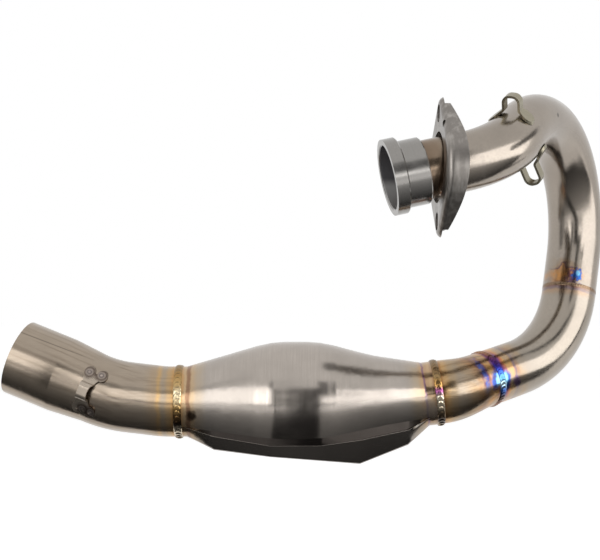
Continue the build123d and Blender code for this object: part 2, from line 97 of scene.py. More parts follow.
# %% Find the two open ends
mounts = {mount["name"]: mount for mount in frame["record"]["mounts"]}
port_point = Vector(mounts["port"]["pos_m"])
port_axis = -Vector(mounts["port"]["axis"])
outlet_point = Vector(mounts["outlet"]["pos_m"])
outlet_axis = Vector(mounts["outlet"]["axis"])
print("port to outlet:", round(1000 * (outlet_point - port_point).length, 1), "mm")

# %% [markdown]
# Some marks on the steel are single spots: a painted highlight on blue, the painted shade of a dent, the spot
# welds on the hook. They could be put in place by trial and error. It is quicker to name the pixel where each
# one shows, and to shoot a ray from the camera through it: the point where the ray meets the solid is the
# mark's place, and it stays there in every other view.

# %% Camera numbers and picture marks
camera_place = Vector((-0.05575, -0.850, -0.06481))
lens_mm = 80.34
sensor_mm = 36.0
picture_size = (600, 560)
pixels_per_slope = lens_mm / sensor_mm * picture_size[0]
picture_marks = {
    "elbow_dent_shade": (558, 115),
    "upright_streak": (568, 272),
    "upright_gold": (566, 274),
    "upright_purple": (575, 276),
    "upright_blue": (577, 275),
    "upright_painted_highlight": (578, 273),
    "below_upright": (562, 288),
    "joint_right": (507, 372),
    "joint_right_purple": (517, 381),
    "joint_right_glow": (507, 380),
    "joint_right_painted_highlight": (505.5, 379),
    "joint_left": (490, 372),
    "joint_left_glow": (496, 380),
    "joint_left_painted_highlight": (499, 379),
    "violet_middle": (480, 374),
    "rear_weld_under_shade": (177, 412),
    "rear_weld_foot_shade": (191, 416),
    "outlet_line_start": (23, 333),
    "outlet_line_end": (70, 351),
    "hook_dot_1": (89.5, 372.0),
    "hook_dot_2": (101.5, 375.6),
    "hook_dot_3": (82.0, 409.0),
    "hook_dot_4": (90.7, 412.5),
}


def seen(node, mark):
    """Point of a solid that the camera sees at a named place in the picture."""
    across, down = picture_marks[mark]
    right = (across - picture_size[0] / 2) / pixels_per_slope
    up = (picture_size[1] / 2 - down) / pixels_per_slope
    found, point, _, _ = nodes[node].ray_cast(camera_place, Vector((right, 1.0, up)).normalized())
    assert found, (node, mark)
    return point


print(len(picture_marks), "marks, at", round(pixels_per_slope), "pixels for a slope of one")

# %% [markdown]
# Every finish is a tree of shader nodes. One could be drawn by hand in the shader editor, but there are
# fifteen pieces, so the few kinds of node that they share get short functions first: numbers, directions and
# links. Colours are written as 0 to 255 and turned into the linear light of the sockets.

# %% Numbers, directions and colours


def srgb(r, g, b):
    """Scene colour of a colour that is read off as 0 to 255."""
    def line(c):
        c = c / 255
        return c / 12.92 if c <= 0.04045 else ((c + 0.055) / 1.055) ** 2.4
    return line(r), line(g), line(b), 1.0


def put(tree, socket, value):
    """Feed a socket from another node, or set it to a plain value."""
    if isinstance(value, bpy.types.NodeSocket):
        tree.links.new(value, socket)
    else:
        socket.default_value = value


def number_node(tree, operation, a, b=0.0, c=0.0):
    """Result of a Math node."""
    node = tree.nodes.new("ShaderNodeMath")
    node.operation = operation
    for socket, value in zip(node.inputs, (a, b, c)):
        put(tree, socket, value)
    return node.outputs[0]


def vector_node(tree, operation, a, b=(0, 0, 0)):
    """Result of a Vector Math node: a number for a product or a length, else a direction."""
    node = tree.nodes.new("ShaderNodeVectorMath")
    node.operation = operation
    put(tree, node.inputs[0], a)
    put(tree, node.inputs[1], b)
    return node.outputs["Value" if operation in ("DOT_PRODUCT", "LENGTH") else "Vector"]


print("a grey of 128 is", round(srgb(128, 128, 128)[0], 3), "in scene light")

# %% [markdown]
# A finish starts as a bare shader and grows node by node, so a small class keeps the tree at hand. The
# position comes from Object coordinates, which for these solids are plain metres in the part's frame: a
# pattern then needs no unwrapped map, and it stays on its piece when the piece moves.

# %% A finish under construction


class Finish:
    """A material under construction, with short ways to add nodes."""

    def __init__(self, name):
        self.material = bpy.data.materials.new(name)
        self.material.use_nodes = True
        self.tree = self.material.node_tree
        self.tree.nodes.clear()
        self.output = self.add("OutputMaterial")
        self.shader = self.add("BsdfPrincipled")
        self.join(self.shader.outputs["BSDF"], self.output.inputs["Surface"])
        self.coords = self.add("TexCoord").outputs["Object"]

    def add(self, kind):
        return self.tree.nodes.new("ShaderNode" + kind)

    def join(self, output, socket):
        self.tree.links.new(output, socket)

    def feed(self, name, value):
        """Feed one of the shader's own sockets."""
        put(self.tree, self.shader.inputs[name], value)

    def math(self, operation, a, b=0.0, c=0.0):
        return number_node(self.tree, operation, a, b, c)

    def vector(self, operation, a, b=(0, 0, 0)):
        return vector_node(self.tree, operation, a, b)

    def noise(self, scale, detail=2.0, stretch=(1, 1, 1), coords=None):
        mapping = self.add("Mapping")
        mapping.inputs["Scale"].default_value = stretch
        self.join(coords or self.coords, mapping.inputs["Vector"])
        node = self.add("TexNoise")
        node.inputs["Scale"].default_value = scale
        node.inputs["Detail"].default_value = detail
        self.join(mapping.outputs["Vector"], node.inputs["Vector"])
        return node.outputs["Fac"]

    def spread(self, value, from_low, from_high, to_low, to_high):
        """Stretch a number from one range to another, and hold it at the ends."""
        node = self.add("MapRange")
        ends = {"From Min": from_low, "From Max": from_high, "To Min": to_low, "To Max": to_high}
        for name, number in ends.items():
            node.inputs[name].default_value = number
        self.join(value, node.inputs["Value"])
        return node.outputs["Result"]

    def ramp(self, value, stops):
        """Colour and strength for a number from 0 to 1."""
        node = self.add("ValToRGB")
        ramp = node.color_ramp
        ramp.interpolation = "EASE"
        while len(ramp.elements) < len(stops):
            ramp.elements.new(0.5)
        for element, (place, colour) in zip(ramp.elements, stops):
            element.position = place
            element.color = colour
        self.join(value, node.inputs["Fac"])
        return node.outputs["Color"], node.outputs["Alpha"]

    def mix(self, share, a, b):
        node = self.add("Mix")
        node.data_type = "RGBA"
        for name, value in (("Factor", share), ("A", a), ("B", b)):
            put(self.tree, node.inputs[name], value)
        return node.outputs["Result"]

    def bump(self, height, strength, distance):
        """Lean the shading by a height, on top of any lean that is there already."""
        node = self.add("Bump")
        node.inputs["Strength"].default_value = strength
        node.inputs["Distance"].default_value = distance
        self.join(height, node.inputs["Height"])
        normal = self.shader.inputs["Normal"]
        if normal.is_linked:
            self.join(normal.links[0].from_socket, node.inputs["Normal"])
        self.join(node.outputs["Normal"], normal)


print("a finish can be built from", [name for name in vars(Finish) if not name.startswith("_")])

# %% [markdown]
# The header is satin stainless. One flat grey would look like foil, because the real metal's colour and
# gloss drift a little and its brushing lines are too fine to see one by one. A scanned texture would need a
# map on each bent tube, so noises do it here, and each piece only says how dark, how dull and how brushed it
# is. The drift of the gloss keeps the soft-box reflections from looking printed on.

# %% The steel finish
cloud_scale = 38.0
gloss_scale = 70.0
gloss_drift = 0.05
brush_height = 0.0002
wave_scale = 48.0
wave_height = 0.0003


def steel(name, rgb, rough, brush=(1, 1, 1), brush_scale=900.0, brush_depth=0.05, cloud=0.09, wave=0.6):
    """Brushed steel. Returns the finish and the colour socket that washes go over."""
    finish = Finish(name)
    base = srgb(*rgb)
    dark = tuple(c * (1 - cloud) for c in base[:3]) + (1.0,)
    light = tuple(c * (1 + cloud) for c in base[:3]) + (1.0,)
    clouds = finish.noise(cloud_scale, 4.0)
    colour = finish.mix(finish.spread(clouds, 0.3, 0.7, 0.0, 1.0), dark, light)
    lines = finish.noise(brush_scale, 2.0, brush)
    colour = finish.mix(finish.spread(lines, 0.35, 0.7, 0.0, 0.6), colour, dark)
    gloss = finish.math("ADD", finish.noise(gloss_scale, 3.0), finish.math("MULTIPLY", lines, 0.5))
    gloss = finish.spread(gloss, 0.5, 1.0, rough - gloss_drift, rough + gloss_drift)
    finish.feed("Roughness", gloss)
    finish.bump(lines, brush_depth, brush_height)
    finish.bump(finish.noise(wave_scale, 1.0), wave, wave_height)
    finish.feed("Metallic", 1.0)
    return finish, colour


def dress(node, finish, colour):
    """Give a finished material to a solid."""
    finish.feed("Base Color", colour)
    mesh = nodes[node].data
    mesh.materials.clear()
    mesh.materials.append(finish.material)
    print(node, "wears", finish.material.name)


print("steel with clouds about", round(1000 / cloud_scale), "mm across")

# %% [markdown]
# Stainless that has been welded keeps a record of how hot it got: straw where it was warm, brown and purple
# nearer the joint, and blue beside the bead. These colours could be painted on an image. A ramp over the
# distance from a joint says the same with a few numbers, and an oval round one point gives a spot. A noise
# pushes their edges to and fro, because a real edge is ragged.

# %% Heat washes and spots
oval_core = 0.6
oval_edge = 1.2


def along(finish, point, axis):
    """Distance in millimetres from a plane across a tube."""
    from_point = finish.vector("SUBTRACT", finish.coords, point)
    return finish.math("MULTIPLY", finish.vector("DOT_PRODUCT", from_point, axis), 1000.0)


def ragged(finish, distance, wobble, grain):
    """A distance that a noise pushes to and fro by up to the wobble."""
    start = finish.math("SUBTRACT", distance, wobble)
    return finish.math("MULTIPLY_ADD", finish.noise(grain, 3.0), wobble * 2, start)


def band(finish, colour, distance, stops, wobble=1.5, grain=160.0, share=None):
    """Wash heat colours over a colour by distance from a joint: stops are (mm, colour, strength)."""
    low, high = stops[0][0], stops[-1][0]
    place = finish.spread(ragged(finish, distance, wobble, grain), low, high, 0.0, 1.0)
    laid = [((mm - low) / (high - low), (*srgb(*rgb)[:3], strength)) for mm, rgb, strength in stops]
    tint, strength = finish.ramp(place, laid)
    if share is not None:
        strength = finish.math("MULTIPLY", strength, share)
    return finish.mix(strength, colour, tint)


def near(finish, point, radii, high=1.0, low=0.0, wobble=0.35, grain=420.0):
    """A number that is high round a point and low outside an oval; radii in millimetres along X, Y and Z."""
    from_point = finish.vector("SUBTRACT", finish.coords, point)
    in_radii = finish.vector("MULTIPLY", from_point, [1000.0 / r for r in radii])
    reach = ragged(finish, finish.vector("LENGTH", in_radii), wobble, grain)
    return finish.spread(reach, oval_core, oval_edge, high, low)


def spots(finish, colour, node, table):
    """Wash spots over a colour; a row has picture mark, radii, colour, strength and wobble."""
    for mark, radii, rgb, strength, wobble in table:
        share = near(finish, seen(node, mark), radii, strength, 0.0, wobble)
        colour = finish.mix(share, colour, srgb(*rgb))
    return colour


chamber_run = chamber_rear.centre - chamber_front.centre
print("between the chamber's welds:", round(1000 * chamber_run.length, 1), "mm")

# %% [markdown]
# Looking into the port, the eye meets the inside of the tube: dull, dark under its roof and paler on its
# floor. The dark roof and pale floor are painted shade and painted light, a ramp over the height. Its faces
# could be picked by hand and given a second material. The distance from the tube's axis tells inside from
# outside just as well, with one number.

# %% Inside of a tube
bore_edge = (0.0002, 0.0006)
bore_metal = 0.35
# Painted shade and light inside a tube: dark under the roof, pale on the floor.
bore_shade_and_light = [
    (0.0, srgb(66, 64, 66)), (0.45, srgb(88, 86, 88)),
    (0.62, srgb(168, 166, 164)), (1.0, srgb(140, 137, 134))]


def bore(finish, colour, point, axis, radius, share=1.0):
    """Dull the faces within a radius of a tube's axis; the share can fade this out along the tube."""
    to_axis = finish.vector("CROSS_PRODUCT", finish.vector("SUBTRACT", finish.coords, point), axis)
    off_axis = finish.vector("LENGTH", to_axis)
    inside = finish.spread(off_axis, radius + bore_edge[0], radius + bore_edge[1], 1.0, 0.0)
    inside = finish.math("MULTIPLY", inside, share)
    # Painted shade under the bore's roof and painted light on its floor, by height.
    height = along(finish, point, (0, 0, 1))
    tone, _ = finish.ramp(finish.spread(height, 1000 * radius, -1000 * radius, 0.0, 1.0), bore_shade_and_light)
    finish.feed("Metallic", finish.spread(inside, 0.0, 1.0, 1.0, bore_metal))
    return finish.mix(inside, colour, tone)


print("bore tones from roof to floor:", len(bore_shade_and_light))

# %% [markdown]
# The front bend is one tube, bent twice on a mandrel, from the collar to the weld in the upright leg. It is
# browned all round near the collar. At the upright weld it is gold on one side only, with a purple and blue
# patch where the torch stayed longest. A plain band would run right round the tube, so a ragged oval cuts it
# off, and a table of spots adds the patch, a painted highlight on the blue, a dark streak and the painted
# shade of a small dent at the elbow.

# %% Front bend
tube_bore_radius = 0.01805
bore_fade = (40.0, 60.0)
finish, colour = steel("front_bend_steel", (154, 145, 135), 0.2, brush_scale=700.0, brush_depth=0.1)
past_upright = along(finish, upright.centre, upright.axis)
gold_side = near(finish, seen("front_bend", "upright_gold"), (10.5, 30, 13), 1.0, 0.06, 0.8, 110.0)
colour = band(finish, colour, past_upright, [
    (-22, (150, 134, 112), 0.0), (-14.5, (150, 118, 84), 0.45), (-12.6, (92, 60, 66), 0.8),
    (-11.2, (176, 122, 62), 0.7), (-6, (184, 126, 58), 0.8), (-2.4, (136, 92, 58), 0.75),
    (0, (92, 66, 52), 0.8), (5, (150, 134, 112), 0.0)], wobble=8.0, grain=120.0, share=gold_side)
colour = spots(finish, colour, "front_bend", [
    ("upright_purple", (5.0, 7, 5.4), (84, 54, 96), 0.75, 1.4),
    ("upright_blue", (3.2, 6, 4.0), (36, 96, 172), 0.9, 1.6),
    # Painted highlight: a pale cyan glint on the blue patch.
    ("upright_painted_highlight", (1.6, 6, 2.0), (130, 196, 226), 0.7, 0.3),
    ("upright_streak", (1.4, 6, 5.0), (74, 48, 36), 0.7, 0.5),
    # Painted shade of a small dent at the elbow.
    ("elbow_dent_shade", (0.7, 3, 1.6), (34, 28, 24), 0.9, 0.1)])
from_port = along(finish, port_point, port_axis)
colour = band(finish, colour, from_port, [
    (20, (96, 74, 52), 0.8), (30, (118, 96, 74), 0.7), (38, (130, 108, 84), 0.5), (48, (150, 134, 112), 0.0)])
near_mouth = finish.spread(from_port, *bore_fade, 1.0, 0.0)
colour = bore(finish, colour, port_point, port_axis, tube_bore_radius, near_mouth)
dress("front_bend", finish, colour)

# %% [markdown]
# The lower bend turns from the upright leg towards the chamber, and carries the strongest colours, beside
# the raised weld at its end. They come in stripes round the tube. Whole bands would be simpler, but no
# stripe on the real tube is whole. So a coarse noise breaks up the straw stripe, and an oval keeps most of
# the blue one to the camera's side. Spots beside the weld add purple, blue and a painted highlight.

# %% Lower bend
finish, colour = steel("lower_bend_steel", (156, 147, 136), 0.19, brush_scale=700.0, brush_depth=0.08)
past_upright = along(finish, upright.centre, upright.axis)
warm_side = near(finish, seen("lower_bend", "below_upright"), (17, 30, 12), 1.0, 0.4, 0.4, 90.0)
colour = band(finish, colour, past_upright, [
    (-3, (92, 66, 52), 0.8), (1.2, (112, 70, 58), 0.75), (3.0, (96, 62, 84), 0.5),
    (5, (168, 122, 74), 0.35), (10, (150, 134, 112), 0.0)], share=warm_side)
before_joint = along(finish, joint.centre, -joint.axis)
broken = finish.spread(finish.noise(85.0, 3.0), 0.34, 0.6, 0.25, 1.0)
colour = band(finish, colour, before_joint, [
    (2, (186, 118, 70), 0.9), (6.0, (206, 152, 84), 0.85), (10.5, (200, 152, 84), 0.75),
    (13.0, (104, 60, 84), 0.6), (14.6, (150, 100, 60), 0.6), (19, (176, 138, 86), 0.45),
    (30, (158, 144, 124), 0.0)], wobble=3.2, grain=70.0, share=broken)
blue_side = near(finish, seen("lower_bend", "joint_right"), (16, 26, 17), 1.0, 0.12, 0.5, 110.0)
colour = band(finish, colour, before_joint, [
    (-2, (56, 100, 190), 0.95), (1.8, (58, 66, 160), 0.95), (3.6, (104, 56, 116), 0.9),
    (5.4, (170, 90, 84), 0.6), (7.5, (206, 152, 84), 0.0)], wobble=1.8, grain=130.0, share=blue_side)
colour = spots(finish, colour, "lower_bend", [
    ("joint_right_purple", (2.8, 8, 4.4), (84, 50, 110), 0.75, 0.6),
    ("joint_right_glow", (3.2, 9, 7.0), (36, 82, 160), 0.95, 0.3),
    # Painted highlight: a pale cyan-white glint on the blue beside the joint weld.
    ("joint_right_painted_highlight", (2.0, 9, 5.0), (140, 200, 232), 0.95, 0.3)])
dress("lower_bend", finish, colour)

# %% [markdown]
# Drawn and brushed tubes carry long streaks, and these follow the tube, not the axes of the scene. A Mapping
# node could be turned to suit, but its angles would have to be worked out for each leg. So the position is
# first measured along the tube and across it, and the noise is laid over those three numbers.

# %% Streaks along a tube
streak_scale = 420.0


def lengthwise(finish, axis, stretch):
    """Noise drawn out along a tube's own direction."""
    axis = Vector(axis).normalized()
    side = axis.cross((0, 0, 1)).normalized()
    node = finish.add("CombineXYZ")
    for socket, direction, share in zip(node.inputs, (axis, side, side.cross(axis)), (stretch, 1.0, 1.0)):
        run = finish.vector("DOT_PRODUCT", finish.coords, direction)
        finish.join(finish.math("MULTIPLY", run, share), socket)
    return finish.noise(streak_scale, 2.0, coords=node.outputs["Vector"])


print("streaks about", round(1000 / streak_scale, 1), "mm wide")

# %% [markdown]
# The short transition tube widens from the lower bend to the chamber. It was heated from both ends, so it
# wears a wash from each of its two joints, with a flecked violet stripe in between, and brown streaks along
# it. One band can't hold two distances, so the washes are laid one over another. Spots beside the joint weld
# add blue and a painted highlight.

# %% Transition tube
finish, colour = steel("transition_steel", (155, 142, 126), 0.2, (0.12, 3.0, 3.0), 420.0, 0.16)
past_joint = along(finish, joint.centre, joint.axis)
broken = finish.spread(finish.noise(85.0, 3.0, (0.5, 1.6, 1.6)), 0.34, 0.6, 0.2, 1.0)
colour = band(finish, colour, past_joint, [
    (2, (190, 126, 66), 0.9), (5.6, (196, 142, 72), 0.85), (10, (186, 134, 72), 0.8),
    (15.5, (140, 96, 62), 0.7), (18.5, (160, 112, 62), 0.65), (25, (168, 132, 84), 0.45),
    (34, (158, 144, 124), 0.1)], wobble=3.2, grain=70.0, share=broken)
blue_side = near(finish, seen("transition_tube", "joint_left"), (14, 26, 17), 1.0, 0.12, 0.5, 110.0)
colour = band(finish, colour, past_joint, [
    (-2, (56, 100, 190), 0.95), (1.6, (58, 62, 156), 0.95), (3.4, (100, 60, 104), 0.85),
    (6.0, (196, 142, 72), 0.0)], wobble=1.8, grain=130.0, share=blue_side)
violet_side = near(finish, seen("transition_tube", "violet_middle"), (9, 22, 15), 1.0, 0.0, 0.4, 160.0)
flecks = finish.spread(finish.noise(260.0, 2.0), 0.36, 0.56, 0.15, 1.0)
violet_share = finish.math("MULTIPLY", violet_side, flecks)
colour = band(finish, colour, past_joint, [
    (8.4, (120, 84, 78), 0.0), (10.4, (96, 62, 92), 0.8), (11.8, (58, 70, 138), 0.95),
    (14.2, (66, 88, 152), 0.95), (15.6, (92, 60, 92), 0.8), (17.6, (140, 104, 78), 0.0)],
    wobble=1.4, grain=210.0, share=violet_share)
colour = spots(finish, colour, "transition_tube", [
    ("joint_left_glow", (3.4, 9, 7.0), (36, 82, 160), 0.95, 0.3),
    # Painted highlight: a pale cyan-white glint on the blue beside the joint weld.
    ("joint_left_painted_highlight", (2.2, 9, 5.0), (140, 200, 232), 0.95, 0.3)])
streaks = lengthwise(finish, chamber_front.centre - joint.centre, 0.04)
colour = finish.mix(finish.spread(streaks, 0.46, 0.68, 0.0, 0.55), colour, srgb(92, 72, 54))
before_chamber = along(finish, chamber_front.centre, -chamber_front.axis)
colour = band(finish, colour, before_chamber, [
    (-2, (120, 84, 46), 0.8), (2.6, (160, 112, 58), 0.8), (5.0, (196, 152, 90), 0.6),
    (10, (178, 146, 98), 0.35), (16, (160, 146, 126), 0.0)])
dress("transition_tube", finish, colour)

# %% [markdown]
# The chamber is pressed from sheet in two halves. On the solids its rounded creases are rows of narrow
# facets, which shade one by one. A subdivision would round them off but move the outline. So a copy of each
# half joins its points and shades as one skin: the weights keep the long flat faces true while the narrow
# ones carry the turn.

# %% Copies that shade as one skin
merge_distance = 1e-6
sharp_from = math.radians(26)
large_face_weight = 90


def plain_mesh(maker):
    """Mesh of an object with its modifier applied; the object that carried the modifier goes."""
    bpy.context.view_layer.update()
    mesh = bpy.data.meshes.new_from_object(maker.evaluated_get(bpy.context.evaluated_depsgraph_get()))
    bpy.data.objects.remove(maker)
    return mesh


def stand_in(name, mesh, node):
    """Let a finished mesh stand for a solid."""
    piece = bpy.data.objects.new(name, mesh)
    bpy.context.scene.collection.objects.link(piece)
    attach(piece, "header")
    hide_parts(node)
    print(name, "stands for", node, "with", len(mesh.polygons), "faces")


def one_skin(node):
    """Copy of a solid whose narrow facets shade as one surface, while its sharp edges stay sharp."""
    mesh = nodes[node].data.copy()
    work = bmesh.new()
    work.from_mesh(mesh)
    bmesh.ops.remove_doubles(work, verts=work.verts, dist=merge_distance)
    work.to_mesh(mesh)
    work.free()
    own_normals = mesh.attributes.get("custom_normal")
    if own_normals:
        mesh.attributes.remove(own_normals)
    mesh.shade_smooth()
    mesh.set_sharp_from_angle(angle=sharp_from)
    maker = bpy.data.objects.new(node + "_maker", mesh)
    bpy.context.scene.collection.objects.link(maker)
    weigh = maker.modifiers.new("large_faces_lead", "WEIGHTED_NORMAL")
    weigh.keep_sharp = True
    weigh.weight = large_face_weight
    stand_in(node + "_skin", plain_mesh(maker), node)


print("edges stay sharp from", round(math.degrees(sharp_from)), "degrees")

# %% [markdown]
# Both halves are one steel, polished round the chamber, and each end has a wash from its own weld: straw, a
# thin purple or brown line, then straw again. The halves differ in their creases and rims, so a function
# gives each its own copy to go on from.

# %% Steel of the chamber


def chamber_steel(node):
    """Steel of one half, with a wash from the weld at each end."""
    finish, colour = steel(node + "_steel", (171, 163, 155), 0.2, (6.0, 0.12, 0.12), 300.0, 0.05)
    past_front = along(finish, chamber_front.centre, chamber_front.axis)
    broken = finish.spread(finish.noise(80.0, 2.0), 0.35, 0.6, 0.35, 1.0)
    colour = band(finish, colour, past_front, [
        (-2, (120, 84, 46), 0.8), (2.6, (166, 118, 62), 0.75), (5.0, (200, 158, 98), 0.6),
        (7.4, (186, 140, 84), 0.6), (9.0, (120, 72, 104), 0.75), (10.2, (190, 146, 88), 0.6),
        (14, (184, 156, 112), 0.4), (24, (160, 146, 126), 0.0)], share=broken)
    before_rear = along(finish, chamber_rear.centre, -chamber_rear.axis)
    colour = band(finish, colour, before_rear, [
        (-2, (150, 108, 54), 0.8), (2.8, (186, 140, 76), 0.75), (5.0, (196, 158, 98), 0.55),
        (6.6, (136, 92, 50), 0.75), (7.8, (136, 92, 50), 0.75), (9.6, (196, 158, 100), 0.5),
        (14, (184, 158, 116), 0.3), (22, (160, 146, 126), 0.0)])
    return finish, colour


print("chamber ends:", [round(2000 * ring.radius, 1) for ring in (chamber_front, chamber_rear)], "mm wide")

# %% [markdown]
# The upper half has two cones and a barrel between them, and the creases where they meet are tighter on the
# real pressing than on the solid. Moving the points would depart from the packed shape. A bump can lean the
# shading instead: its height is the difference between a crease rounded widely and one rounded tightly.

# %% Upper shell
front_crease = Vector((-0.0422, 0.058, -0.1411))
rear_crease = Vector((-0.0752, 0.058, -0.1411))
crease_turn = 0.24
crease_round = 9.0
front_tight = 6.0
rear_tight = 3.0


def tight_crease(finish, distance, tight):
    """Height in millimetres that draws a rounded crease down to a tighter one."""
    away = finish.math("ABSOLUTE", distance)
    heights = []
    for run in (crease_round, tight):
        inside = finish.math("MAXIMUM", finish.math("SUBTRACT", run, away), 0.0)
        square = finish.math("MULTIPLY", inside, inside)
        heights.append(finish.math("MULTIPLY", square, crease_turn / (4 * run)))
    return finish.math("SUBTRACT", *heights)


finish, colour = chamber_steel("chamber_upper_shell")
for crease, tight in ((front_crease, front_tight), (rear_crease, rear_tight)):
    finish.bump(tight_crease(finish, along(finish, crease, (1, 0, 0)), tight), 1.0, 0.001)
colour = spots(finish, colour, "chamber_upper_shell", [
    # Painted shade: a near-black patch under the foot of the rear weld.
    ("rear_weld_foot_shade", (3.6, 9, 3.6), (30, 22, 16), 0.9, 0.5)])
dress("chamber_upper_shell", finish, colour)
one_skin("chamber_upper_shell")

# %% [markdown]
# The lower half is a pan whose rim tucks up inside the upper one. Its walls get painted shade, and a narrow
# ledge along the rim gets a painted light line. The faces could be picked one by one, but they differ in one
# plain way: the ledge faces up, the walls stand upright and the bottom faces down. So the surface's own
# upward lean chooses how much painted shade or light a face gets; every face gets some of the shade, the
# walls most.

# %% Lower shell
finish, colour = chamber_steel("chamber_lower_shell")
lean = finish.add("SeparateXYZ")
finish.join(finish.add("TexCoord").outputs["Normal"], lean.inputs["Vector"])
facing_up = lean.outputs["Z"]
# Painted shade: upright walls and the tucked rim band go nearly black, every other face a little darker.
painted_wall_shade = finish.spread(finish.math("ABSOLUTE", facing_up), 0.25, 0.33, 0.92, 0.35)
colour = finish.mix(painted_wall_shade, colour, srgb(30, 25, 23))
# Painted light: the up-facing ledge is made pale and less metallic, so that it shows as a bright line.
painted_ledge_light = finish.spread(facing_up, 0.5, 0.7, 0.0, 1.0)
colour = finish.mix(painted_ledge_light, colour, srgb(226, 218, 208))
finish.feed("Metallic", finish.spread(painted_ledge_light, 0.0, 1.0, 1.0, 0.1))
dress("chamber_lower_shell", finish, colour)
one_skin("chamber_lower_shell")

# %% [markdown]
# The outlet pipe leaves the chamber, bends once and ends in an expanded mouth. It has straw colours at its
# weld, a near-black patch of painted shade under the weld's foot, streaks along each leg and a fine dark line
# along its end. The line could be a groove, but it is only a tone on the real pipe, so it is the thin zone
# beside a plane through two marks.

# %% Outlet pipe
outlet_bend_zone = (-95.0, -75.0)
finish, colour = steel("outlet_steel", (160, 147, 132), 0.19, (0.15, 4.0, 4.0), 300.0, 0.1)
past_rear = along(finish, chamber_rear.centre, chamber_rear.axis)
colour = band(finish, colour, past_rear, [
    (-2, (150, 108, 54), 0.8), (2.8, (190, 144, 80), 0.75), (6, (192, 154, 96), 0.55),
    (9.5, (168, 146, 114), 0.25), (12.5, (196, 156, 92), 0.6), (15.5, (170, 140, 100), 0.35),
    (26, (160, 146, 126), 0.0)])
line_start = seen("outlet_pipe", "outlet_line_start")
line_end = seen("outlet_pipe", "outlet_line_end")
across_line = (line_end - line_start).cross(line_start - camera_place).normalized()
off_line = finish.math("ABSOLUTE", along(finish, line_start, across_line))
line_reach = near(finish, (line_start + line_end) / 2, (30, 14, 30))
on_line = finish.math("MULTIPLY", finish.spread(off_line, 0.15, 0.5, 0.5, 0.0), line_reach)
colour = finish.mix(on_line, colour, srgb(60, 50, 42))
colour = spots(finish, colour, "outlet_pipe", [
    # Painted shade: a near-black patch under the foot of the rear weld.
    ("rear_weld_under_shade", (5.5, 9, 5.5), (26, 19, 13), 0.92, 0.5)])
past_bend = finish.spread(along(finish, outlet_point, outlet_axis), *outlet_bend_zone, 0.0, 1.0)
chamber_leg = lengthwise(finish, chamber_rear.axis, 0.03)
mouth_leg = lengthwise(finish, outlet_axis, 0.03)
streaks = finish.mix(past_bend, chamber_leg, mouth_leg)
colour = finish.mix(finish.spread(streaks, 0.48, 0.7, 0.0, 0.35), colour, srgb(104, 88, 72))
dress("outlet_pipe", finish, colour)

# %% [markdown]
# The collar was turned on a lathe, so its marks run round the port's axis. A wave texture could draw them,
# but its lines would be evenly spaced. A noise in one dimension, fed with the distance along that axis,
# gives rings that are fine here and coarse there, as a tool leaves them.

# %% Collar
collar_mouth_radius = 0.0205
rings_per_mm = 5.0
finish, colour = steel("turned_collar_steel", (154, 151, 147), 0.2, cloud=0.06)
rings = finish.add("TexNoise")
rings.noise_dimensions = "1D"
rings.inputs["Scale"].default_value = 1.0
rings.inputs["Detail"].default_value = 3.0
from_face = along(finish, port_point, port_axis)
finish.join(finish.math("MULTIPLY", from_face, rings_per_mm), rings.inputs["W"])
colour = finish.mix(finish.spread(rings.outputs["Fac"], 0.35, 0.7, 0.0, 0.45), colour, srgb(96, 93, 90))
colour = bore(finish, colour, port_point, port_axis, collar_mouth_radius)
dress("port_collar", finish, colour)

# %% [markdown]
# The flange is the loose plate that the two port studs clamp. It was stamped from plate and left dull, with
# pale streaks and a grain of small pits. Both are noises, because real pits would cost many faces and hardly
# show.

# %% Flange
finish, colour = steel(
    "pressed_flange_plate", (134, 129, 124), 0.32, brush_scale=500.0, brush_depth=0.06, cloud=0.12, wave=0.1)
streaks = finish.noise(320.0, 2.0, (1.0, 1.0, 0.05))
colour = finish.mix(finish.spread(streaks, 0.46, 0.7, 0.0, 0.6), colour, srgb(182, 177, 171))
pits = finish.noise(1300.0, 3.0)
colour = finish.mix(finish.spread(pits, 0.52, 0.74, 0.0, 0.15), colour, srgb(104, 98, 92))
dress("port_flange", finish, colour)

# %% [markdown]
# The two strap loops are bent from strip and welded on beside the top bend. They are duller than the tube
# and a little yellow, so plain steel with a deeper brushing is all that they need.

# %% Straps
for node in ("upper_strap_loop", "lower_strap_loop"):
    finish, colour = steel(
        node + "_steel", (150, 144, 126), 0.33, brush_scale=1500.0, brush_depth=0.2, cloud=0.14)
    dress(node, finish, colour)

# %% [markdown]
# The spring hook was spot welded on: each lobe has a dark ring, a paler one, a dark one again and a pale
# middle. Four spots of falling size, laid one over another, draw these rings without any extra geometry.

# %% Spring hook
dot_rings = (
    ((4.8, 4.8, 4.8), (62, 46, 40), 0.9, 0.2),
    ((2.7, 2.7, 2.7), (184, 172, 160), 0.95, 0.15),
    ((2.0, 2.0, 2.0), (52, 44, 52), 0.85, 0.2),
    ((1.1, 1.1, 1.1), (168, 156, 146), 0.8, 0.15))
finish, colour = steel(
    "spring_hook_steel", (176, 164, 150), 0.3, brush_scale=1500.0, brush_depth=0.15, cloud=0.12, wave=0.2)
for mark in ("hook_dot_1", "hook_dot_2", "hook_dot_3", "hook_dot_4"):
    colour = spots(finish, colour, "outlet_spring_hook", [(mark, *ring) for ring in dot_rings])
dress("outlet_spring_hook", finish, colour)

# %% [markdown]
# A weld bead is a pool of metal that freezes again and again as the torch steps on, so it looks like a row
# of coins pushed over. The ripples could be sculpted, but there are dozens on each of four joints, and
# Geometry Nodes can say just what they are. The tree starts with its sizes as named inputs, so that one tree
# serves all four welds.

